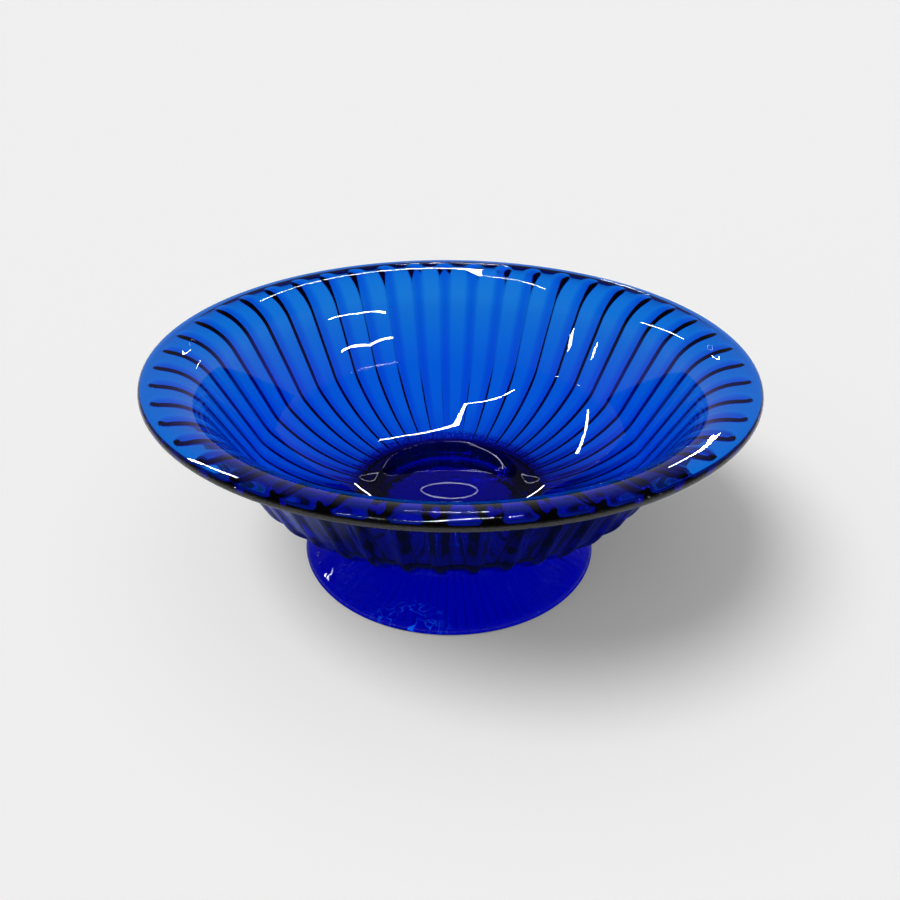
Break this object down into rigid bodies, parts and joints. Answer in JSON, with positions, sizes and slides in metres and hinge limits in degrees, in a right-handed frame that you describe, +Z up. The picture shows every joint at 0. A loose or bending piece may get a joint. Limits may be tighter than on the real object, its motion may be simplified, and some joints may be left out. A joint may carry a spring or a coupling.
{
  "type": "footed bowl",
  "caption": "Wide shallow pressed-glass bowl with a rolled lip and fine ribs outside, joined by a glass wafer to a low hollow flared foot.",
  "frame": {"origin": "centre of the ring that the foot stands on, in the plane of that ring", "axes": "+Z up along the bowl's axis; +X and +Y lie in the plane of the table"},
  "size_m": [0.254, 0.254, 0.1],
  "materials": {
    "bowl_glass": "fire-polished transparent cobalt blue glass, lighter where it is thin",
    "wafer_glass": "transparent cobalt blue glass with seed bubbles",
    "foot_glass": "fire-polished transparent cobalt blue glass"
  },
  "bodies": {
    "root": {"bowl": "bowl_glass", "joining_wafer": "wafer_glass", "foot": "foot_glass"}
  },
  "joints": []
}
